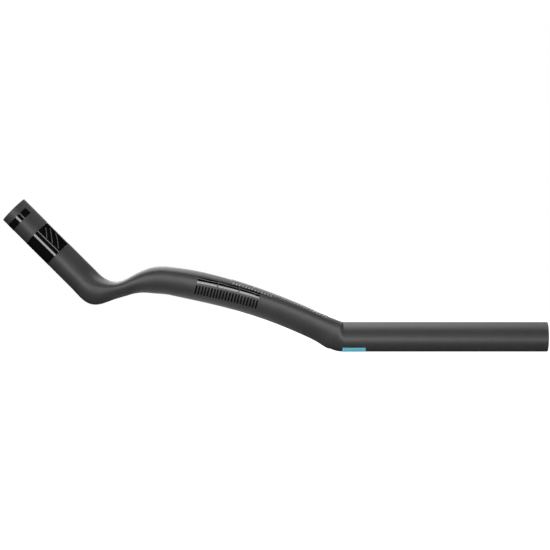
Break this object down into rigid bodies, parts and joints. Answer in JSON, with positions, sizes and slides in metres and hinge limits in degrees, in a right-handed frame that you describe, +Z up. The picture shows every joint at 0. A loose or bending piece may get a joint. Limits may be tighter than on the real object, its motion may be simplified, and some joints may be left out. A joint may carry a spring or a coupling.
{
  "type": "aero handlebar extension",
  "caption": "Hollow S-bend handlebar extension: a round clamp tube, a flat-topped rise, a crest, a thin neck and an upturned round grip with an open end.",
  "frame": {"origin": "centre of the clamp tube's rear end face, on the tube's axis", "axes": "+X along the clamp tube, out of its rear end towards the rider; +Z up, the way the grip points; +Y across the bicycle"},
  "size_m": [0.4069, 0.0296, 0.114],
  "materials": {
    "satin_carbon": "satin black coat on a carbon fibre moulding, with gloss black bands on the grip and a gloss black field on the rise"
  },
  "bodies": {
    "root": {"extension_tube": "satin_carbon"}
  },
  "joints": []
}
